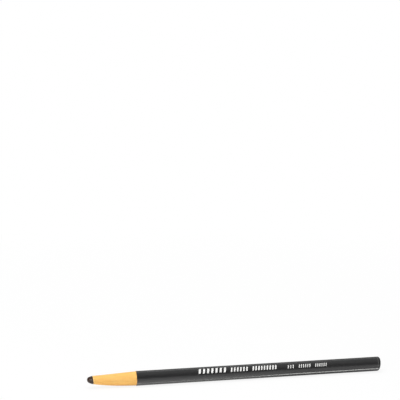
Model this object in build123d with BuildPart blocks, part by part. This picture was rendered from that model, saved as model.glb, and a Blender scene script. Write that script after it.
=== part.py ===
"""A peel-off china marker lying on its side.

A round wax core runs through a wrapper wound from a strip of kraft paper, with a printed black cover
outside and a pull string bedded in the wax. The strip lies at a slant, so each turn that is peeled off
the front leaves the same taper behind it, one turn further back.

The marker's axis lies along X at half the barrel's height, the wax point towards -X. Places along the
axis are measured from the tip of the wax.
"""

import os

from build123d import *

# Driving dimensions, in millimetres and degrees
LENGTH = 178.0  # wax tip to back end
BARREL_DIAMETER = 8.6  # over the printed cover
CORE_DIAMETER = 4.7  # wax rod
COVER_THICKNESS = 0.12  # printed cover, and the lacquer that seals the back end
PLY_THICKNESS = 0.06  # one ply of the kraft strip, seen as the step at both ends of the taper

POINT_LENGTH = 3.4  # wax standing out of the wrapper
POINT_HALF_ANGLE = 20.0  # of the cone behind the nose
NOSE_RADIUS = 1.9  # blunt nose of the wax
POINT_SHOULDER_ROUND = 0.5  # where the cone meets the rod

TAPER_LENGTH = 25.3  # bare kraft, from the wax to the printed cover
TAPER_BULGE = 0.22  # how far the middle of the taper stands out of a straight cone
PEEL_LENGTH = 6.5  # wax laid bare by peeling one turn
PEEL_TURNS = 5  # turns that can be peeled off; the rest of the strip stays wound
END_ROUND = 1.2  # rounded rim of the back end

STRING_DIAMETER = 0.5
STRING_START = 2.9  # the string's end, where it is picked up

# Clearances, in millimetres
BORE_CLEARANCE = 0.03  # radial, wrapper on the wax
GLUE_LINE = 0.01  # between glued pieces
TURN_GAP = 0.3  # along the axis, between one turn and the next
STRING_CLEARANCE = 0.05  # radial, string in its channel

# Worked out from the dimensions above
core_radius = CORE_DIAMETER / 2
barrel_radius = BARREL_DIAMETER / 2
cover_bore_radius = barrel_radius - COVER_THICKNESS
wrap_radius = cover_bore_radius - GLUE_LINE
wrap_bore_radius = core_radius + BORE_CLEARANCE
taper_start = POINT_LENGTH
taper_end = POINT_LENGTH + TAPER_LENGTH
cover_end = LENGTH - END_ROUND
wound_end = LENGTH - COVER_THICKNESS - GLUE_LINE  # back faces of the wax and the strip, under the lacquer
wound_round = END_ROUND - COVER_THICKNESS - GLUE_LINE
peeled_length = PEEL_TURNS * PEEL_LENGTH

string_radius = STRING_DIAMETER / 2
channel_radius = string_radius + STRING_CLEARANCE
string_offset = core_radius - string_radius - STRING_CLEARANCE  # of the string from the marker's axis

tip = Vector(-LENGTH / 2, 0, barrel_radius)
marker_axis = Axis(tip, (1, 0, 0))
profile_plane = Plane(origin=tip, x_dir=(1, 0, 0), z_dir=(0, -1, 0))  # distance from the tip, then radius
section_plane = Plane(origin=tip, x_dir=(0, 1, 0), z_dir=(1, 0, 0))  # across the axis, seen from the back


def export(part, name):
    """Labels a finished piece and writes its STEP file."""
    part.label = name
    export_step(part, f"parts/{name}.step")


def draw_lay(shift):
    """Draws the slanting line on which the strip lies, from bore to outside, in the open line builder.

    Without a shift it is the marker's taper; each peeled turn moves it back along the axis.
    """
    rim = (taper_start + shift, wrap_bore_radius + PLY_THICKNESS)
    shoulder = (taper_end + shift, wrap_radius - PLY_THICKNESS)
    Line((taper_start + shift, wrap_bore_radius), rim)
    SagittaArc(rim, shoulder, TAPER_BULGE)
    Line(shoulder, (taper_end + shift, wrap_radius))


def make_wrap_turn(front, back):
    """One peel-off turn of the kraft strip: a tapered sleeve between two lays of the strip."""
    with BuildPart() as turn:
        with BuildSketch(profile_plane):
            with BuildLine():
                draw_lay(front)
                draw_lay(back)
                Line((taper_start + front, wrap_bore_radius), (taper_start + back, wrap_bore_radius))
                Line((taper_end + front, wrap_radius), (taper_end + back, wrap_radius))
            make_face()
        revolve(axis=marker_axis)
    return turn.part


def make_cover(front, back):
    """A stretch of the printed cover between two places along the axis."""
    with BuildPart() as cover:
        with BuildSketch(profile_plane):
            with Locations(((front + back) / 2, barrel_radius - COVER_THICKNESS / 2)):
                Rectangle(back - front, COVER_THICKNESS)
        revolve(axis=marker_axis)
    return cover.part


os.makedirs("parts", exist_ok=True)

# Wax core: a rod with a blunt cone at the front and a channel for the string along one side
with BuildPart() as wax_core:
    with BuildSketch(profile_plane):
        with BuildLine():
            nose = CenterArc((NOSE_RADIUS, 0), NOSE_RADIUS, 180, POINT_HALF_ANGLE - 90)
            cone_rise = core_radius - (nose @ 1).Y
            cone = PolarLine(nose @ 1, cone_rise, POINT_HALF_ANGLE, length_mode=LengthMode.VERTICAL)
            Polyline(cone @ 1, (wound_end, core_radius), (wound_end, 0), (0, 0))
        make_face()
    revolve(axis=marker_axis)
    shoulder_edge = wax_core.edges().filter_by(GeomType.CIRCLE).sort_by(Axis.X)[-2]
    fillet(shoulder_edge, POINT_SHOULDER_ROUND)
    with BuildSketch(section_plane):
        SlotCenterPoint((core_radius, 0), (string_offset, 0), 2 * channel_radius)
    extrude(amount=LENGTH, mode=Mode.SUBTRACT)
export(wax_core.part, "wax_core")

# Pull string: a thread laid in the channel, just under the wax's surface
with BuildPart() as pull_string:
    with BuildSketch(section_plane.offset(STRING_START)):
        with Locations((string_offset, 0)):
            Circle(string_radius)
    extrude(amount=wound_end - STRING_START)
export(pull_string.part, "pull_string")

# Peel-off turns: each a sleeve of kraft strip and the stretch of printed cover glued to it
for number in range(1, PEEL_TURNS + 1):
    turn_front = (number - 1) * PEEL_LENGTH
    turn_back = number * PEEL_LENGTH
    export(make_wrap_turn(turn_front, turn_back - TURN_GAP), f"wrap_turn_{number}")
    export(make_cover(taper_end + turn_front, taper_end + turn_back), f"cover_turn_{number}")

# Wound stock: the rest of the strip, with its taper still under the turns and a rounded back rim
with BuildPart() as wrap_stock:
    with BuildSketch(profile_plane):
        with BuildLine():
            draw_lay(peeled_length)
            Line((taper_end + peeled_length, wrap_radius), (wound_end - wound_round, wrap_radius))
            RadiusArc(
                (wound_end - wound_round, wrap_radius),
                (wound_end, wrap_radius - wound_round),
                wound_round,
            )
            Polyline(
                (wound_end, wrap_radius - wound_round),
                (wound_end, wrap_bore_radius),
                (taper_start + peeled_length, wrap_bore_radius),
            )
        make_face()
    revolve(axis=marker_axis)
export(wrap_stock.part, "wrap_stock")

# Printed cover over the wound stock
export(make_cover(taper_end + peeled_length, cover_end), "cover_stock")

# End seal: the lacquer over the back face, rolled over its rim and flush with the cover
with BuildPart() as end_seal:
    with BuildSketch(profile_plane):
        with BuildLine():
            RadiusArc((cover_end, barrel_radius), (LENGTH, barrel_radius - END_ROUND), END_ROUND)
            Polyline(
                (LENGTH, barrel_radius - END_ROUND),
                (LENGTH, 0),
                (LENGTH - COVER_THICKNESS, 0),
                (LENGTH - COVER_THICKNESS, barrel_radius - END_ROUND),
            )
            RadiusArc(
                (cover_end, cover_bore_radius),
                (LENGTH - COVER_THICKNESS, barrel_radius - END_ROUND),
                END_ROUND - COVER_THICKNESS,
            )
            Line((cover_end, cover_bore_radius), (cover_end, barrel_radius))
        make_face()
    revolve(axis=marker_axis)
export(end_seal.part, "end_seal")
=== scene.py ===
"""The looks of a peel-off china marker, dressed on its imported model.

All sizes are in metres, in the model's own frame: the marker lies on the floor with its axis along X
and its wax point towards -X. Places along the axis are distances from the tip of the wax, and angles
around it are measured from the top towards +Y, the side on which the string lies.
"""

import math

import bmesh
import bpy
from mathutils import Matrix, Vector, noise


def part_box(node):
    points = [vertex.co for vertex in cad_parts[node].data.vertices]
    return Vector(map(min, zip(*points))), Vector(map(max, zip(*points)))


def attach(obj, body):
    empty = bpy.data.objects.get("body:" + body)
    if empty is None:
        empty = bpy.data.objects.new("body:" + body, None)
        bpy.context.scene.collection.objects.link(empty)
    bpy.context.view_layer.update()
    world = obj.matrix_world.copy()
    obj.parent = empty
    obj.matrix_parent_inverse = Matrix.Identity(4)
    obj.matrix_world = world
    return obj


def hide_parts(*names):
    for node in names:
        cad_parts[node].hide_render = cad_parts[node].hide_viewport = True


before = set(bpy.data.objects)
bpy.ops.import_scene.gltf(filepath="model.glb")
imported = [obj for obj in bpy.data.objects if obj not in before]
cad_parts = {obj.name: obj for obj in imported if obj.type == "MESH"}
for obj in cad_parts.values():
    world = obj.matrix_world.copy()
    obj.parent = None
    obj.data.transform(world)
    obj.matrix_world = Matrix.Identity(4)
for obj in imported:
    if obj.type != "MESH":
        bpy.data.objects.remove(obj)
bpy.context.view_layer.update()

TAU = math.tau
MM = 0.001


# Sizes read from the model

def reach(node_name):
    """Where a node starts and ends along the axis."""
    low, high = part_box(node_name)
    return low.x - tip_x, high.x - tip_x


def outer_radius(node_name):
    """Half the height of a round node."""
    low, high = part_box(node_name)
    return (high.z - low.z) / 2


tip_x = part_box("wax_core")[0].x
barrel_radius = outer_radius("cover_stock")
axis_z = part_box("cover_stock")[0].z + barrel_radius
core_radius = outer_radius("wax_core")
wrap_radius = outer_radius("wrap_stock")
wound_end = reach("wax_core")[1]
length = reach("end_seal")[1]
cover_end = reach("cover_stock")[1]
taper_start = reach("wrap_turn_1")[0]
taper_end = reach("cover_turn_1")[0]
taper_length = taper_end - taper_start
peel_length = reach("wrap_turn_2")[0] - taper_start
turn_numbers = range(1, 1 + sum(name.startswith("wrap_turn_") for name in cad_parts))

string_low, string_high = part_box("pull_string")
string_radius = (string_high.z - string_low.z) / 2
string_offset = (string_high.y + string_low.y) / 2
string_start, string_end = reach("pull_string")

# Sizes of the model that its boxes don't give

NOSE_RADIUS = 1.9 * MM  # blunt nose of the wax
POINT_HALF_ANGLE = math.radians(20)  # of the cone behind the nose
POINT_SHOULDER_ROUND = 0.5 * MM  # where the cone meets the rod
CHANNEL_RADIUS = 0.3 * MM  # the string's bed in the wax
BORE_CLEARANCE = 0.03 * MM  # between the wax and the wrapper
PLY_THICKNESS = 0.06 * MM  # one ply of the kraft strip
TAPER_BULGE = 0.22 * MM  # how far the taper's middle stands out of a straight cone
TURN_GAP = 0.3 * MM  # along the axis, between one turn and the next
COVER_THICKNESS = 0.12 * MM  # printed cover, and the lacquer on the back end

bore_radius = core_radius + BORE_CLEARANCE
rim_radius = bore_radius + PLY_THICKNESS

# Fineness of the meshes

SEGMENTS = 96  # points around the axis
TAPER_RINGS = 128  # along the bare taper
TURN_BACK_RINGS = 24  # along the back of a peel-off turn
STOCK_RIM_RINGS = 6  # over the rounded back rim of the strip
COVER_RING_PITCH = 1 * MM  # along the cover
SEAL_INNER_RINGS = 8  # over the inside of the lacquered rim
SEAL_RIM_RINGS = 16  # over its outside
SEAL_FACE_RINGS = 26  # across the back face
NOSE_RINGS = 13  # over the nose of the wax
CONE_RINGS = 10  # along the cone behind it
SHOULDER_RINGS = 6  # over the round between the cone and the rod
ROD_RINGS = 60  # along the rod
CHANNEL_POINTS = 9  # across the string's channel

# Fine relief

PLY_LEAD = 1.43 * MM  # from one winding of the strip to the next, along the taper
PLY_STEP = 0.024 * MM  # height of the edge of each winding
PLY_STEP_SHARE = 0.14  # how much of the lead that edge takes
PAPER_WAVE = 0.014 * MM  # unevenness of the wound paper
PAPER_WAVE_SIZE = 2.2 * MM  # how far apart its hollows lie
RIM_RAG = 0.11 * MM  # ragged front rim of the wrapper
RIM_RAG_SIZE = 0.9 * MM
RIM_CURL = 0.2 * RIM_RAG  # how far that rim stands in and out
RIM_CURL_SIZE = 0.5 * MM
RIM_SLANT = 0.25 * MM  # how far that rim is out of square, above and below the axis
RIM_REACH = 3 * MM  # how far back that shows
COVER_RAG = 0.16 * MM  # uneven cut of the cover
COVER_RAG_SIZE = 1 * MM  # along the axis, so that one cut differs from the next
COVER_RAG_TURN = 2.0  # how fast a cut changes around the barrel
COVER_WAVE = 0.006 * MM  # unevenness of the barrel
COVER_WAVE_LENGTH = 7 * MM
COVER_WAVE_WIDTH = 3 * MM
SEAM_ANGLE = math.radians(-122)  # where the cover overlaps itself, along the barrel
SEAM_STEP = 0.03 * MM  # height of the overlap
SEAM_SLIT = math.radians(0.2)  # half the width of that step
SEAL_DISH = 0.03 * MM  # how far the middle of the back face is sunk
SEAL_GROOVE = 0.035 * MM  # depth of the ring around the wax in that face
SEAL_GROOVE_WIDTH = 0.2 * MM
WAX_WEAR = 0.09 * MM  # hollows in the worn point
WAX_WEAR_SIZE = 1.3 * MM  # how far apart they lie
WEAR_FADE = 4  # how sharply the wear ends at the wrapper
TIP_LIFT = 0.8 * MM  # how far the tip stands above the barrel's axis
LIFT_REACH = 20 * MM  # how far back that shows
END_SLANT = 0.48 * MM  # how far the back end is out of square, above and below the axis
SLANT_REACH = 8 * MM  # how far forward that shows

# Lines and bands in the materials

PAINTED_SHADE_WIDTH = 0.07  # half the width of the painted shade line at each winding's edge, as a share of the lead
PAINTED_SHADE_SHARE = 0.12  # how much of the darker colour of that painted shade shows there
RIM_HIGHLIGHT_WIDTH = 0.05 * MM  # outwards from the rim at the wax, where a painted highlight on the paper's edge fades out
RIM_HIGHLIGHT_SHARE = 0.5  # how much of the paler colour of that painted highlight shows on that edge
SEAM_MARGIN_AND_PAINTED_REFLECTION = 0.58 * MM  # edge of the cover along the overlap that carries no black, widened on the back half into a pale painted reflection line along the lower side
SEAM_MARGIN_FRONT = 0.1 * MM  # the same on the front half of the barrel
SEAM_WIDENS = (90 * MM, 125 * MM)  # where the one turns into the other, and where the painted reflection band of the front half fades out
MARGIN_RAG = 0.03 * MM  # how ragged that margin is
MARGIN_BLUR = 0.03 * MM  # half the distance over which it fades into the black
PAINTED_REFLECTION_MIDDLE = -1.05 * MM  # from the seam down to the middle of a paler band of painted reflection of the floor
PAINTED_REFLECTION_REACH = 3.2 * MM  # half the width of that band, which fades out towards its edges
PAINTED_REFLECTION_SHARE = 0.24  # how much pale colour that painted reflection adds, on the front half of the barrel
PAINTED_REFLECTION_STREAKS = (0.7, 1.3)  # least and most of that share, in streaks
PAINTED_HIGHLIGHT_AHEAD = 0.6 * MM  # how far in front of the back end's rounded rim a faint pale line of painted highlight lies
PAINTED_HIGHLIGHT_LINE = 0.06 * MM  # half the width of that line
PAINTED_HIGHLIGHT_FADED = 0.14 * MM  # where it has faded out
PAINTED_HIGHLIGHT_SHARE = 0.2  # how much pale colour that painted highlight shows
BLACK_DEPTH = 0.07 * MM  # how deep the black goes into the cover
BARE_DEPTH = 0.09 * MM  # from here on it is plain paper

# Grain of the materials: cells of noise per metre along X, Y and Z

KRAFT_FIBRES = (9000, 900, 900)
KRAFT_FLECKS = (5200, 800, 800)
KRAFT_CLOUDS = (260, 420, 420)
WAX_DRAG = (900, 5200, 5200)
WAX_CRUMBS = (2600, 2600, 2600)
COVER_TOOTH = (2600, 3400, 3400)
COVER_SWELLS = (240, 700, 700)
COVER_MARKS = (160, 2600, 2600)
LACQUER_FLOW = (600, 1500, 1500)
LACQUER_SPECKS = (5000, 5000, 5000)
COTTON_HAIRS = (3000, 14000, 14000)

GRAIN_LOW = 0.3  # nearly all of a grain's values lie above this one
GRAIN_HIGH = 0.7  # and below this one

# Colours

KRAFT_LIGHT = (0.955, 0.56, 0.155, 1)
KRAFT_DEEP = (0.95, 0.505, 0.121, 1)
# Pale fibres, and also the painted highlight along the rim at the wax
KRAFT_FIBRE_AND_RIM_HIGHLIGHT = (0.97, 0.72, 0.35, 1)
KRAFT_FLECK = (0.62, 0.31, 0.08, 1)
# Darker colour of the painted shade at each winding's edge
KRAFT_PAINTED_SHADE = (0.60, 0.30, 0.08, 1)
WAX_BLACK = (0.034, 0.017, 0.01, 1)
WAX_BROWN = (0.056, 0.028, 0.0165, 1)
COVER_BLACK = (0.0045, 0.0045, 0.005, 1)
COVER_WORN = (0.008, 0.008, 0.0085, 1)
COVER_SCUFF = (0.03, 0.03, 0.031, 1)
# Bare paper at the cover's overlap, and the pale painted reflections and painted highlight on the cover
PALE_PAPER_AND_PAINTED_LIGHT = (0.53, 0.53, 0.52, 1)
COTTON_LIGHT = (0.80, 0.76, 0.66, 1)
COTTON_SHADE = (0.52, 0.46, 0.36, 1)
INK_WHITE = (0.88, 0.88, 0.86, 1)
INK_THIN = (0.5, 0.5, 0.49, 1)
FLOOR_PALE = (0.9, 0.9, 0.9, 1)
PLAIN_WHITE = (1, 1, 1, 1)


# Mesh helpers

def spread(start, end, count):
    """Evenly spaced values from start to end, both included."""
    return [start + (end - start) * i / (count - 1) for i in range(count)]


def lift_at(u):
    """How far the marker's middle stands above its axis."""
    return TIP_LIFT * max(0.0, 1 - u / LIFT_REACH) ** 2


def spot_at(u, across, up):
    """The point at a distance from the tip and beside the axis, with the back end's slant."""
    slant = END_SLANT * max(0.0, 1 - (length - u) / SLANT_REACH)
    return Vector((tip_x + u + slant * up / barrel_radius, across, axis_z + up))


def place(u, radius, angle):
    """The point at a distance from the tip, and at a radius and an angle around the marker's middle."""
    return spot_at(u, radius * math.sin(angle), radius * math.cos(angle) + lift_at(u))


def circle(u, radius, uneven=None):
    """A ring of points from one side of the seam to the other.

    Uneven gives each point's shift along the axis and outwards.
    """
    ring = []
    for angle in spread(SEAM_ANGLE + SEAM_SLIT, SEAM_ANGLE + TAU - SEAM_SLIT, SEGMENTS):
        along, out = uneven(u, radius, angle) if uneven else (0.0, 0.0)
        ring.append(place(u + along, radius + out, angle))
    return ring


def loft(mesh, rings, closed=False):
    """Joins rings of points with faces, and returns the rings that it made.

    A ring of one point is a pole, and a closed loft returns to its start.
    """
    made = [[mesh.verts.new(point) for point in ring] for ring in rings]
    pairs = list(zip(made, made[1:]))
    if closed:
        pairs.append((made[-1], made[0]))
    for first, second in pairs:
        count = max(len(first), len(second))
        for i in range(count):
            j = (i + 1) % count
            corners = [first[i % len(first)], first[j % len(first)]]
            corners += [second[j % len(second)], second[i % len(second)]]
            mesh.faces.new(list(dict.fromkeys(corners)))
    return made


def finish_piece(name, mesh, material, body, nodes=(), sharp=35):
    """Makes a mesh into a piece with its material, body, slot and the nodes that it stands for.

    Edges between faces that differ by more than sharp degrees stay crisp.
    """
    bmesh.ops.recalc_face_normals(mesh, faces=mesh.faces)
    data = bpy.data.meshes.new(name)
    mesh.to_mesh(data)
    mesh.free()
    data.shade_smooth()
    data.set_sharp_from_angle(angle=math.radians(sharp))
    data.materials.append(material)
    piece = bpy.data.objects.new(name, data)
    bpy.context.scene.collection.objects.link(piece)
    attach(piece, body)
    if nodes:
        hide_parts(*nodes)


# Material helpers

def node(tree, kind, inputs=None, **settings):
    """Adds a shader node; an input is a value or another node's output."""
    made = tree.nodes.new(kind)
    for key, value in settings.items():
        setattr(made, key, value)
    for key, value in (inputs or {}).items():
        if isinstance(value, bpy.types.NodeSocket):
            tree.links.new(value, made.inputs[key])
        else:
            made.inputs[key].default_value = value
    return made


def new_material(name):
    """A new material, its node tree and its shader."""
    material = bpy.data.materials.new(name)
    material.use_nodes = True
    tree = material.node_tree
    return material, tree, tree.nodes["Principled BSDF"]


def math_node(tree, operation, first, second=0.0):
    """One sum; returns its result."""
    return node(tree, "ShaderNodeMath", {0: first, 1: second}, operation=operation).outputs[0]


def grain(tree, scale, detail=3.0, roughness=0.55):
    """Noise in the piece's own space, with a scale of its own along each axis; returns its value."""
    coords = node(tree, "ShaderNodeTexCoord")
    stretched = node(tree, "ShaderNodeMapping", {"Vector": coords.outputs["Object"], "Scale": scale})
    inputs = {"Vector": stretched.outputs[0], "Scale": 1.0, "Detail": detail, "Roughness": roughness}
    return node(tree, "ShaderNodeTexNoise", inputs).outputs["Fac"]


def remap(tree, value, low, high, to_low, to_high):
    """A value stretched from one range to another and held inside it."""
    inputs = {"Value": value, "From Min": low, "From Max": high, "To Min": to_low, "To Max": to_high}
    return node(tree, "ShaderNodeMapRange", inputs).outputs[0]


def over_grain(tree, value, low, high):
    """A number that follows a grain, from low in its hollows to high on its peaks."""
    return remap(tree, value, GRAIN_LOW, GRAIN_HIGH, low, high)


def showing(tree, value, start, full, most=1.0):
    """How much of a mark shows on a grain's peaks: nothing up to the start, and the most from full on."""
    return remap(tree, value, start, full, 0.0, most)


def blend_colours(tree, share, first, second):
    """Two colours mixed by a share; returns the colour."""
    # The mix node has sockets of the same names for numbers and vectors, so its sockets go by their place
    inputs = {0: share, 6: first, 7: second}
    return node(tree, "ShaderNodeMix", inputs, data_type="RGBA").outputs[2]


def bump(tree, height, distance, strength, under=None):
    """Bump from a height, over another bump if one is given; returns the normal."""
    inputs = {"Height": height, "Distance": distance, "Strength": strength}
    if under:
        inputs["Normal"] = under
    return node(tree, "ShaderNodeBump", inputs).outputs[0]


def join(tree, shader, sockets):
    """Joins values to the shader's sockets."""
    for key, value in sockets.items():
        tree.links.new(value, shader.inputs[key])


def around_axis(tree):
    """Distance from the tip, distance from the axis and turn around it, in whole turns."""
    coords = node(tree, "ShaderNodeTexCoord")
    spot = node(tree, "ShaderNodeSeparateXYZ", {0: coords.outputs["Object"]})
    across = spot.outputs[1]
    along = math_node(tree, "SUBTRACT", spot.outputs[0], tip_x)
    near_tip = remap(tree, along, 0.0, LIFT_REACH, 1.0, 0.0)
    lift = math_node(tree, "MULTIPLY", math_node(tree, "POWER", near_tip, 2.0), TIP_LIFT)
    above_axis = math_node(tree, "SUBTRACT", spot.outputs[2], axis_z)
    height = math_node(tree, "SUBTRACT", above_axis, lift)
    slant = remap(tree, along, length - SLANT_REACH, length, 0.0, END_SLANT / barrel_radius)
    from_tip = math_node(tree, "SUBTRACT", along, math_node(tree, "MULTIPLY", slant, height))
    across_squared = math_node(tree, "POWER", across, 2.0)
    height_squared = math_node(tree, "POWER", height, 2.0)
    from_axis = math_node(tree, "SQRT", math_node(tree, "ADD", across_squared, height_squared))
    turn = math_node(tree, "DIVIDE", math_node(tree, "ARCTAN2", across, height), TAU)
    return from_tip, from_axis, turn


# Materials

def make_kraft():
    """Wound kraft paper: golden brown and fibrous, with a fine line of painted shade at the edge of each
    winding and a painted highlight along its rim at the wax.
    """
    material, tree, shader = new_material("kraft_paper")
    from_tip, from_axis, turn = around_axis(tree)
    windings = math_node(tree, "ADD", math_node(tree, "DIVIDE", from_tip, PLY_LEAD), turn)
    from_edge = math_node(tree, "PINGPONG", windings, 0.5)
    edge = remap(tree, from_edge, 0.0, PAINTED_SHADE_WIDTH, 1.0, 0.0)
    rim = remap(tree, from_axis, rim_radius, rim_radius + RIM_HIGHLIGHT_WIDTH, 1.0, 0.0)

    fibres = grain(tree, KRAFT_FIBRES, detail=4.0)
    flecks = grain(tree, KRAFT_FLECKS, detail=2.0)
    clouds = grain(tree, KRAFT_CLOUDS, detail=3.0)
    fibre_share = showing(tree, fibres, start=0.35, full=0.65, most=0.2)
    fleck_share = showing(tree, flecks, start=0.68, full=0.78, most=0.25)
    paper = blend_colours(tree, over_grain(tree, clouds, 0.0, 1.0), KRAFT_LIGHT, KRAFT_DEEP)
    paper = blend_colours(tree, fibre_share, paper, KRAFT_FIBRE_AND_RIM_HIGHLIGHT)
    paper = blend_colours(tree, fleck_share, paper, KRAFT_FLECK)
    # Painted shade: a darker line along the edge of each winding, where the step would shade the paper
    paper = blend_colours(tree, math_node(tree, "MULTIPLY", edge, PAINTED_SHADE_SHARE), paper, KRAFT_PAINTED_SHADE)
    # Painted highlight: a paler band on the paper along its rim at the wax
    paper = blend_colours(tree, math_node(tree, "MULTIPLY", rim, RIM_HIGHLIGHT_SHARE), paper, KRAFT_FIBRE_AND_RIM_HIGHLIGHT)

    relief = bump(tree, fibres, distance=0.02 * MM, strength=0.5)
    relief = bump(tree, edge, distance=0.01 * MM, strength=0.4, under=relief)
    shader.inputs["Specular IOR Level"].default_value = 0.25
    join(tree, shader, {
        "Base Color": paper,
        "Roughness": over_grain(tree, fibres, 0.55, 0.78),
        "Normal": relief,
    })
    return material


def make_wax():
    """Pigmented wax: near black, with a waxy gloss broken by fine drag marks."""
    material, tree, shader = new_material("black_wax")
    drag = grain(tree, WAX_DRAG, detail=4.0)
    crumbs = grain(tree, WAX_CRUMBS, detail=3.0)
    brown_share = showing(tree, crumbs, start=0.35, full=0.7)
    relief = bump(tree, drag, distance=0.03 * MM, strength=0.5)
    relief = bump(tree, crumbs, distance=0.03 * MM, strength=0.4, under=relief)
    shader.inputs["Specular IOR Level"].default_value = 0.48
    join(tree, shader, {
        "Base Color": blend_colours(tree, brown_share, WAX_BLACK, WAX_BROWN),
        "Roughness": over_grain(tree, drag, 0.17, 0.29),
        "Normal": relief,
    })
    return material


def pale_paper_and_painted_light_share(tree, from_tip, turn, marks):
    """How much pale colour shows on the cover: bare paper along its seam, widened at the back into a
    painted reflection, a painted reflection of the floor on the lower front half, and a painted highlight
    ring near the back end.
    """
    # Bare paper along the overlap, widened towards the back into a pale line of painted reflection
    from_seam = math_node(tree, "SUBTRACT", turn, SEAM_ANGLE / TAU)
    from_seam = math_node(tree, "MULTIPLY", from_seam, TAU * barrel_radius)
    half_margin = remap(tree, from_tip, *SEAM_WIDENS, SEAM_MARGIN_FRONT / 2, SEAM_MARGIN_AND_PAINTED_REFLECTION / 2)
    from_middle = math_node(tree, "ABSOLUTE", math_node(tree, "SUBTRACT", from_seam, half_margin))
    outside = math_node(tree, "SUBTRACT", from_middle, half_margin)
    ragged = math_node(tree, "ADD", outside, over_grain(tree, marks, -MARGIN_RAG, MARGIN_RAG))
    seam = remap(tree, ragged, -MARGIN_BLUR, MARGIN_BLUR, 1.0, 0.0)

    # Painted reflection: a paler streaky band along the lower front half of the barrel, where the floor is
    # mirrored
    from_painted_reflection = math_node(tree, "ABSOLUTE", math_node(tree, "SUBTRACT", from_seam, PAINTED_REFLECTION_MIDDLE))
    across_band = remap(tree, from_painted_reflection, 0.0, PAINTED_REFLECTION_REACH, 1.0, 0.0)
    along_band = remap(tree, from_tip, *SEAM_WIDENS, PAINTED_REFLECTION_SHARE, 0.0)
    painted_reflection = math_node(tree, "MULTIPLY", across_band, along_band)
    painted_reflection = math_node(tree, "MULTIPLY", painted_reflection, over_grain(tree, marks, *PAINTED_REFLECTION_STREAKS))

    # Painted highlight: a faint pale ring just ahead of the rounded back rim
    past_painted_highlight = math_node(tree, "SUBTRACT", from_tip, cover_end - PAINTED_HIGHLIGHT_AHEAD)
    from_painted_highlight = math_node(tree, "ABSOLUTE", past_painted_highlight)
    painted_highlight = remap(tree, from_painted_highlight, PAINTED_HIGHLIGHT_LINE, PAINTED_HIGHLIGHT_FADED, PAINTED_HIGHLIGHT_SHARE, 0.0)
    return math_node(tree, "MAXIMUM", math_node(tree, "MAXIMUM", seam, painted_highlight), painted_reflection)


def make_cover():
    """Black print on paper: satin, with a faint tooth, handling marks, bare edges, pale painted reflections
    along the lower side and a painted highlight ring by the back end.
    """
    material, tree, shader = new_material("black_cover")
    from_tip, from_axis, turn = around_axis(tree)
    tooth = grain(tree, COVER_TOOTH, detail=3.0)
    swells = grain(tree, COVER_SWELLS, detail=2.0)
    marks = grain(tree, COVER_MARKS, detail=4.0, roughness=0.7)
    scuff_share = showing(tree, marks, start=0.66, full=0.8, most=0.5)
    inked = remap(tree, from_axis, barrel_radius - BARE_DEPTH, barrel_radius - BLACK_DEPTH, 0.0, 1.0)
    colour = blend_colours(tree, over_grain(tree, swells, 0.0, 1.0), COVER_BLACK, COVER_WORN)
    colour = blend_colours(tree, scuff_share, colour, COVER_SCUFF)
    colour = blend_colours(tree, pale_paper_and_painted_light_share(tree, from_tip, turn, marks), colour, PALE_PAPER_AND_PAINTED_LIGHT)
    colour = blend_colours(tree, inked, KRAFT_DEEP, colour)
    relief = bump(tree, tooth, distance=0.006 * MM, strength=0.5)
    relief = bump(tree, swells, distance=0.02 * MM, strength=0.4, under=relief)
    shader.inputs["Specular IOR Level"].default_value = 0.8
    join(tree, shader, {
        "Base Color": colour,
        "Roughness": remap(tree, marks, low=0.3, high=0.75, to_low=0.26, to_high=0.4),
        "Normal": relief,
    })
    return material


def make_lacquer():
    """Gloss black lacquer that closes the back end."""
    material, tree, shader = new_material("end_lacquer")
    flow = grain(tree, LACQUER_FLOW, detail=2.0)
    specks = grain(tree, LACQUER_SPECKS, detail=1.0)
    speck_share = showing(tree, specks, start=0.74, full=0.8, most=0.4)
    colour = blend_colours(tree, over_grain(tree, flow, 0.0, 1.0), COVER_BLACK, COVER_WORN)
    colour = blend_colours(tree, speck_share, colour, COVER_SCUFF)
    shader.inputs["Specular IOR Level"].default_value = 0.5
    join(tree, shader, {
        "Base Color": colour,
        "Roughness": over_grain(tree, flow, 0.16, 0.3),
        "Normal": bump(tree, flow, distance=0.03 * MM, strength=0.4),
    })
    return material


def make_cotton():
    """Undyed cotton thread."""
    material, tree, shader = new_material("cotton_string")
    hairs = grain(tree, COTTON_HAIRS, detail=4.0)
    shader.inputs["Sheen Weight"].default_value = 0.3
    join(tree, shader, {
        "Base Color": blend_colours(tree, over_grain(tree, hairs, 0.0, 1.0), COTTON_LIGHT, COTTON_SHADE),
        "Roughness": over_grain(tree, hairs, 0.75, 0.95),
        "Normal": bump(tree, hairs, distance=0.02 * MM, strength=0.7),
    })
    return material


def make_ink():
    """White print, a little thin where the cover's tooth shows through."""
    material, tree, shader = new_material("white_ink")
    tooth = grain(tree, COVER_TOOTH, detail=3.0)
    thin_share = showing(tree, tooth, start=0.6, full=0.75, most=0.5)
    join(tree, shader, {
        "Base Color": blend_colours(tree, thin_share, INK_WHITE, INK_THIN),
        "Roughness": over_grain(tree, tooth, 0.4, 0.6),
        "Normal": bump(tree, tooth, distance=0.006 * MM, strength=0.5),
    })
    return material


# Relief, as shifts along the axis and of the radius

def paper_taper(u, radius, angle):
    """Windings and unevenness of the bare kraft: each winding rises at its edge and falls away behind."""
    phase = (u / PLY_LEAD + angle / TAU) % 1.0
    rising = phase / PLY_STEP_SHARE
    falling = (1 - phase) / (1 - PLY_STEP_SHARE)
    hollow = PAPER_WAVE * (1 + noise.noise(place(u, radius, angle) / PAPER_WAVE_SIZE)) / 2
    return 0.0, PLY_STEP * (min(rising, falling) - 1) - hollow


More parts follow.
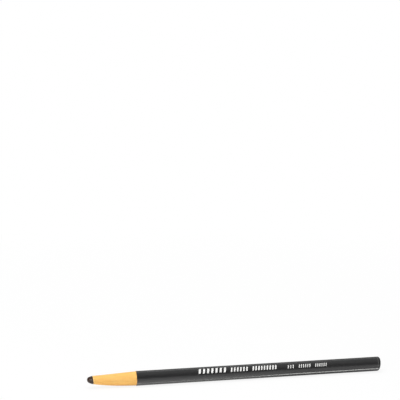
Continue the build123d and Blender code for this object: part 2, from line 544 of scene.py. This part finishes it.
def paper_rim(u, radius, angle):
    """The ragged edge of the paper where it meets the wax."""
    spot = place(u, radius, angle)
    along = RIM_RAG * noise.noise(spot / RIM_RAG_SIZE)
    return along, RIM_CURL * noise.noise(spot / RIM_CURL_SIZE)


def cover_wave(u, radius, angle):
    """The overlap and the faint unevenness of the cover, always a little inside its full size."""
    across = radius * math.sin(angle) / COVER_WAVE_WIDTH
    up = radius * math.cos(angle) / COVER_WAVE_WIDTH
    wave = COVER_WAVE * (1 + noise.noise(Vector((u / COVER_WAVE_LENGTH, across, up))))
    overlap = SEAM_STEP * ((angle - SEAM_ANGLE) % TAU) / TAU
    return 0.0, -overlap - wave


def cover_cut(u, radius, angle):
    """The uneven line along which one stretch of the cover meets the next."""
    across = COVER_RAG_TURN * math.sin(angle)
    up = COVER_RAG_TURN * math.cos(angle)
    along = COVER_RAG * noise.noise(Vector((u / COVER_RAG_SIZE, across, up)))
    return along, cover_wave(u, radius, angle)[1]


# Pieces

def lay_radius(share):
    """Outside of the taper, from its rim at the wax to its shoulder under the cover."""
    shoulder = wrap_radius - PLY_THICKNESS
    return rim_radius + (shoulder - rim_radius) * share + 4 * TAPER_BULGE * share * (1 - share)


def bare_taper(front):
    """Rings over the bare front of the kraft strip, from its slanting rim to the edge of the cover."""
    start = taper_start + front

    def slanted(uneven):
        """The same unevenness, shifted along the axis close to the rim."""
        def shifts(u, radius, angle):
            along, out = uneven(u, radius, angle)
            return along - RIM_SLANT * math.cos(angle) * max(0.0, 1 - (u - start) / RIM_REACH), out
        return shifts

    rings = [circle(start, radius, slanted(paper_rim)) for radius in (bore_radius, rim_radius)]
    for share in spread(0.0, 1.0, TAPER_RINGS)[1:]:
        rings.append(circle(start + taper_length * share, lay_radius(share), slanted(paper_taper)))
    rings.append(circle(taper_end + front, wrap_radius))
    return rings


def make_wrap_turn(number, material):
    """One peel-off turn of the kraft strip."""
    front = (number - 1) * peel_length
    back = front + peel_length - TURN_GAP
    rings = bare_taper(front)
    rings.append(circle(taper_end + back, wrap_radius))
    for share in spread(1.0, 0.0, TURN_BACK_RINGS):
        rings.append(circle(taper_start + back + taper_length * share, lay_radius(share)))
    rings.append(circle(taper_start + back, bore_radius))
    mesh = bmesh.new()
    loft(mesh, rings, closed=True)
    nodes = [f"wrap_turn_{number}"]
    finish_piece(f"kraft_turn_{number}", mesh, material, f"turn_{number}", nodes)


def make_wrap_stock(material):
    """The rest of the kraft strip, up to the back end."""
    rings = bare_taper(len(turn_numbers) * peel_length)
    rim_round = wound_end - cover_end
    for turn in spread(0.0, math.pi / 2, STOCK_RIM_RINGS):
        u = cover_end + rim_round * math.sin(turn)
        rings.append(circle(u, wrap_radius - rim_round * (1 - math.cos(turn))))
    rings.append(circle(wound_end, bore_radius))
    mesh = bmesh.new()
    loft(mesh, rings, closed=True)
    finish_piece("kraft_stock", mesh, material, "marker", ["wrap_stock"])


def make_cover_piece(name, node_name, body, material):
    """A stretch of the printed cover, with an uneven cut in front and where another stretch follows."""
    start, end = reach(node_name)
    bore = barrel_radius - COVER_THICKNESS
    end_cut = cover_cut if end < cover_end else cover_wave
    stations = spread(start, end, 2 + int((end - start) / COVER_RING_PITCH))
    rings = [circle(start, bore, cover_cut), circle(start, barrel_radius, cover_cut)]
    rings += [circle(u, barrel_radius, cover_wave) for u in stations[1:-1]]
    rings += [circle(end, barrel_radius, end_cut), circle(end, bore, end_cut)]
    mesh = bmesh.new()
    loft(mesh, rings, closed=True)
    finish_piece(name, mesh, material, body, [node_name])


def make_end_seal(material):
    """The lacquered back end: a rolled rim, and a face that sinks a little around the wax core."""
    rim_round = length - cover_end
    face_radius = barrel_radius - rim_round
    inner_round = rim_round - COVER_THICKNESS
    rings = [[spot_at(length - COVER_THICKNESS, 0.0, 0.0)]]
    for turn in spread(math.pi / 2, 0.0, SEAL_INNER_RINGS):
        u = cover_end + inner_round * math.sin(turn)
        rings.append(circle(u, face_radius + inner_round * math.cos(turn)))
    rings.append(circle(cover_end, barrel_radius, cover_wave))
    for turn in spread(0.0, math.pi / 2, SEAL_RIM_RINGS)[1:]:
        u = cover_end + rim_round * math.sin(turn)
        rings.append(circle(u, face_radius + rim_round * math.cos(turn)))
    for radius in spread(face_radius, 0.0, SEAL_FACE_RINGS)[1:-1]:
        sunk = SEAL_DISH * (1 - (radius / face_radius) ** 2)
        sunk += SEAL_GROOVE * math.exp(-(((radius - core_radius) / SEAL_GROOVE_WIDTH) ** 2))
        rings.append(circle(length - sunk, radius))
    rings.append([spot_at(length - SEAL_DISH, 0.0, 0.0)])
    mesh = bmesh.new()
    loft(mesh, rings)
    finish_piece("back_seal", mesh, material, "marker", ["end_seal"])


def wax_ring(u, radius):
    """A ring of the wax, dipping into the string's straight channel where the wax is thick enough."""
    channel_floor = string_offset - CHANNEL_RADIUS
    half = CHANNEL_RADIUS * min(1.0, radius / channel_floor)
    drop = min(lift_at(u), radius / 2)
    start = math.asin((half - drop) / radius)
    end = TAU - math.asin((half + drop) / radius)
    outline = []
    for turn in spread(start, end, SEGMENTS):
        outline.append((radius * math.cos(turn), radius * math.sin(turn)))
    for turn in spread(0.0, math.pi, CHANNEL_POINTS)[1:-1]:
        up = -drop - half * math.cos(turn)
        depth = string_offset - CHANNEL_RADIUS * math.sin(turn)
        outline.append((min(depth, math.sqrt(radius * radius - up * up)), up))
    worn = min(1.0, WEAR_FADE * max(0.0, 1 - u / taper_start))
    ring = []
    for across, up in outline:
        pit = max(0.0, noise.noise(Vector((u, across, up)) / WAX_WEAR_SIZE))
        kept = 1 - worn * WAX_WEAR * pit / core_radius
        ring.append(spot_at(u, across * kept, up * kept + lift_at(u)))
    return ring


def wax_profile():
    """Distance from the tip and radius along the wax: a nose, a short cone, a shoulder and the rod."""
    profile = []
    for turn in spread(0.0, math.pi / 2 - POINT_HALF_ANGLE, NOSE_RINGS)[1:]:
        profile.append((NOSE_RADIUS * (1 - math.cos(turn)), NOSE_RADIUS * math.sin(turn)))
    nose_u, nose_r = profile[-1]
    slope = math.tan(POINT_HALF_ANGLE)
    edge_u = nose_u + (core_radius - nose_r) / slope
    round_reach = POINT_SHOULDER_ROUND * math.tan(POINT_HALF_ANGLE / 2)
    for u in spread(nose_u, edge_u - round_reach * math.cos(POINT_HALF_ANGLE), CONE_RINGS)[1:]:
        profile.append((u, nose_r + (u - nose_u) * slope))
    for turn in spread(POINT_HALF_ANGLE, 0.0, SHOULDER_RINGS)[1:]:
        u = edge_u + round_reach - POINT_SHOULDER_ROUND * math.sin(turn)
        profile.append((u, core_radius - POINT_SHOULDER_ROUND * (1 - math.cos(turn))))
    for u in spread(edge_u + round_reach, wound_end, ROD_RINGS)[1:]:
        profile.append((u, core_radius))
    return profile


def make_wax_core(material):
    """The wax rod with its blunt, slightly worn point."""
    rings = [[place(0.0, 0.0, 0.0)]]
    rings += [wax_ring(u, radius) for u, radius in wax_profile()]
    rings.append([spot_at(wound_end, 0.0, 0.0)])
    mesh = bmesh.new()
    loft(mesh, rings)
    finish_piece("wax_rod", mesh, material, "marker", ["wax_core"], sharp=50)


STRANDS = 3
STRAND_SIDES = 6
STRING_LEAD = 1.7 * MM  # length of one twist
STRING_STEPS = 12  # rings in one twist
FRAY_LENGTH = 0.8 * MM  # where the strands part
FRAY = 0.2  # how far they part


def make_pull_string(material):
    """A thread twisted from three touching strands, parted a little at its free end."""
    strand_radius = string_radius / (1 + 2 / math.sqrt(3))
    offset = string_radius - strand_radius
    steps = int((string_end - string_start) / STRING_LEAD * STRING_STEPS)
    mesh = bmesh.new()
    for strand in range(STRANDS):
        rings = []
        for u in spread(string_start, string_end, steps):
            turn = TAU * (u / STRING_LEAD + strand / STRANDS)
            reach_out = offset * (1 + FRAY * max(0.0, 1 - (u - string_start) / FRAY_LENGTH))
            ring = []
            for side in range(STRAND_SIDES):
                around = TAU * side / STRAND_SIDES
                across = string_offset + reach_out * math.cos(turn) + strand_radius * math.cos(around)
                up = reach_out * math.sin(turn) + strand_radius * math.sin(around)
                ring.append(spot_at(u, across, up))
            rings.append(ring)
        made = loft(mesh, rings)
        mesh.faces.new(made[0])
        mesh.faces.new(made[-1])
    finish_piece("string_thread", mesh, material, "string", ["pull_string"], sharp=70)


# Print: start and end along the axis, height of the strokes, their pitch and their width
PRINT_BLOCKS = (
    (65.4 * MM, 82.4 * MM, 3.1 * MM, 2.4 * MM, 1.2 * MM),
    (84.8 * MM, 95.6 * MM, 2.7 * MM, 1.8 * MM, 0.85 * MM),
    (98.0 * MM, 113.2 * MM, 2.7 * MM, 1.8 * MM, 0.85 * MM),
    (119.7 * MM, 123.7 * MM, 2.1 * MM, 1.7 * MM, 0.5 * MM),
    (126.5 * MM, 134.0 * MM, 2.1 * MM, 1.4 * MM, 0.5 * MM),
    (136.7 * MM, 144.1 * MM, 2.1 * MM, 1.4 * MM, 0.5 * MM),
)
PRINT_BASE = math.radians(-68)  # foot of the strokes
STROKE_LEAN = 0.22  # along the axis, per height
STROKE_ROWS = 9  # from foot to top
INK_THICKNESS = 0.012 * MM  # above the cover, and as much below its surface


def make_print(material):
    """Plain leaning strokes in white, on the side that faces the viewer."""
    mesh = bmesh.new()
    for start, end, height, pitch, width in PRINT_BLOCKS:
        room = end - start - width - STROKE_LEAN * height
        for left in spread(start, start + room, 1 + round(room / pitch)):
            rows = []
            for share in spread(0.0, 1.0, STROKE_ROWS):
                angle = PRINT_BASE + share * height / barrel_radius
                u = left + STROKE_LEAN * height * share
                row = []
                for along, side in ((0.0, -1), (0.0, 1), (width, 1), (width, -1)):
                    sunk = cover_wave(u + along, barrel_radius, angle)[1]
                    row.append(place(u + along, barrel_radius + sunk + side * INK_THICKNESS, angle))
                rows.append(row)
            made = loft(mesh, rows)
            mesh.faces.new(made[0])
            mesh.faces.new(made[-1])
    finish_piece("print_strokes", mesh, material, "marker")


# Studio

FLOOR_SIZE = 60.0
FLOOR_GLOW = 0.86  # share of plain white in the floor, close to the marker
MIRRORED_GLOW = 0.3  # how much of that shows in reflections, which keep the shadow under the marker
GLOW_NEAR = 0.12  # from here the floor turns to plain white
GLOW_FAR = 0.5  # and here it is plain white
HORIZON_LOW = math.radians(1)  # up to here the room is white
HORIZON_HIGH = math.radians(4)  # from here on its walls are dim
CEILING_LOW = math.radians(35)  # up to here they stay so
CEILING_HIGH = math.radians(75)  # from here on the ceiling is paler
WALL_LEVEL = 0.25
CEILING_LEVEL = 0.6
LAMP_DISTANCE = 1.2


def make_floor():
    """A plain pale floor that shows white and keeps a soft shadow."""
    data = bpy.data.meshes.new("floor")
    half = FLOOR_SIZE / 2
    corners = [(-half, -half, 0), (half, -half, 0), (half, half, 0), (-half, half, 0)]
    data.from_pydata(corners, [], [(0, 1, 2, 3)])
    floor = bpy.data.objects.new("floor", data)
    bpy.context.scene.collection.objects.link(floor)
    material, tree, shader = new_material("studio_floor")
    tree.nodes.remove(shader)
    path = node(tree, "ShaderNodeLightPath").outputs
    mirrored = math_node(tree, "MAXIMUM", path["Is Glossy Ray"], path["Is Transmission Ray"])
    mirrored = math_node(tree, "MULTIPLY", mirrored, MIRRORED_GLOW)
    seen = math_node(tree, "MAXIMUM", path["Is Camera Ray"], mirrored)
    coords = node(tree, "ShaderNodeTexCoord")
    away = node(tree, "ShaderNodeVectorMath", {0: coords.outputs["Object"]}, operation="LENGTH")
    glow_share = remap(tree, away.outputs["Value"], GLOW_NEAR, GLOW_FAR, FLOOR_GLOW, 1.0)
    matte = node(tree, "ShaderNodeBsdfDiffuse", {"Color": FLOOR_PALE})
    glow = node(tree, "ShaderNodeEmission", {"Color": PLAIN_WHITE, "Strength": 1.0})
    mixed = node(tree, "ShaderNodeMixShader", {
        0: math_node(tree, "MULTIPLY", seen, glow_share),
        1: matte.outputs[0],
        2: glow.outputs[0],
    })
    tree.links.new(mixed.outputs[0], tree.nodes["Material Output"].inputs["Surface"])
    data.materials.append(material)


def make_world():
    """A dim room, white along the horizon and paler overhead."""
    world = bpy.data.worlds.new("studio")
    bpy.context.scene.world = world
    world.use_nodes = True
    tree = world.node_tree
    coords = node(tree, "ShaderNodeTexCoord")
    rise = node(tree, "ShaderNodeSeparateXYZ", {0: coords.outputs["Generated"]}).outputs[2]
    walls = remap(tree, rise, math.sin(HORIZON_LOW), math.sin(HORIZON_HIGH), 1.0, WALL_LEVEL)
    paler = CEILING_LEVEL - WALL_LEVEL
    ceiling = remap(tree, rise, math.sin(CEILING_LOW), math.sin(CEILING_HIGH), 0.0, paler)
    tree.links.new(math_node(tree, "ADD", walls, ceiling), tree.nodes["Background"].inputs["Color"])


def make_softbox(name, towards, width, height, watts, mirrored=True):
    """A soft lamp that faces the marker from a direction; glossy surfaces may show it or not."""
    lamp = bpy.data.lights.new(name, "AREA")
    lamp.shape = "RECTANGLE"
    lamp.size = width
    lamp.size_y = height
    lamp.energy = watts
    softbox = bpy.data.objects.new(name, lamp)
    bpy.context.scene.collection.objects.link(softbox)
    away = Vector(towards).normalized()
    softbox.location = Vector((0, 0, axis_z)) + away * LAMP_DISTANCE
    softbox.rotation_euler = (-away).to_track_quat("-Z", "Y").to_euler()
    softbox.visible_camera = False
    softbox.visible_glossy = mirrored


CAMERA_LENS_MM = 135.0
CAMERA_SENSOR_MM = 36.0
CAMERA_AZIMUTH = math.radians(-12.66)
CAMERA_PITCH = math.radians(8.96)
TIP_FROM_CAMERA = Vector((-0.0655, -0.10508, 0.8692))  # to the right, up and ahead


def make_camera():
    """The photograph's view: low, from the front, with the back end a little further off."""
    lens = bpy.data.cameras.new("camera")
    lens.lens = CAMERA_LENS_MM
    lens.sensor_width = CAMERA_SENSOR_MM
    camera = bpy.data.objects.new("camera", lens)
    bpy.context.scene.collection.objects.link(camera)
    level = Vector((-math.sin(CAMERA_AZIMUTH), math.cos(CAMERA_AZIMUTH), 0))
    ahead = level * math.cos(CAMERA_PITCH) - Vector((0, 0, math.sin(CAMERA_PITCH)))
    right = Vector((math.cos(CAMERA_AZIMUTH), math.sin(CAMERA_AZIMUTH), 0))
    up = right.cross(ahead)
    offset = right * TIP_FROM_CAMERA.x + up * TIP_FROM_CAMERA.y + ahead * TIP_FROM_CAMERA.z
    camera.location = Vector((tip_x, 0, axis_z)) - offset
    camera.rotation_euler = ahead.to_track_quat("-Z", "Y").to_euler()
    bpy.context.scene.camera = camera


kraft = make_kraft()
cover = make_cover()
make_wax_core(make_wax())
make_pull_string(make_cotton())
for number in turn_numbers:
    make_wrap_turn(number, kraft)
    make_cover_piece(f"cover_ring_{number}", f"cover_turn_{number}", f"turn_{number}", cover)
make_wrap_stock(kraft)
make_cover_piece("cover_barrel", "cover_stock", "marker", cover)
make_end_seal(make_lacquer())
make_print(make_ink())

make_floor()
make_world()
make_softbox("softbox_top", (-0.2, -0.1, 1.0), width=1.0, height=1.0, watts=10.5, mirrored=False)
make_softbox("softbox_left", (-0.55, -0.75, 0.3), width=0.32, height=0.32, watts=2.5)
make_softbox("softbox_right", (0.75, -0.5, 0.43), width=0.3, height=0.8, watts=1.0)
make_softbox("softbox_back", (0.1, 0.7, 0.83), width=0.8, height=0.3, watts=1.0)
make_camera()
bpy.context.scene.view_settings.view_transform = "Standard"
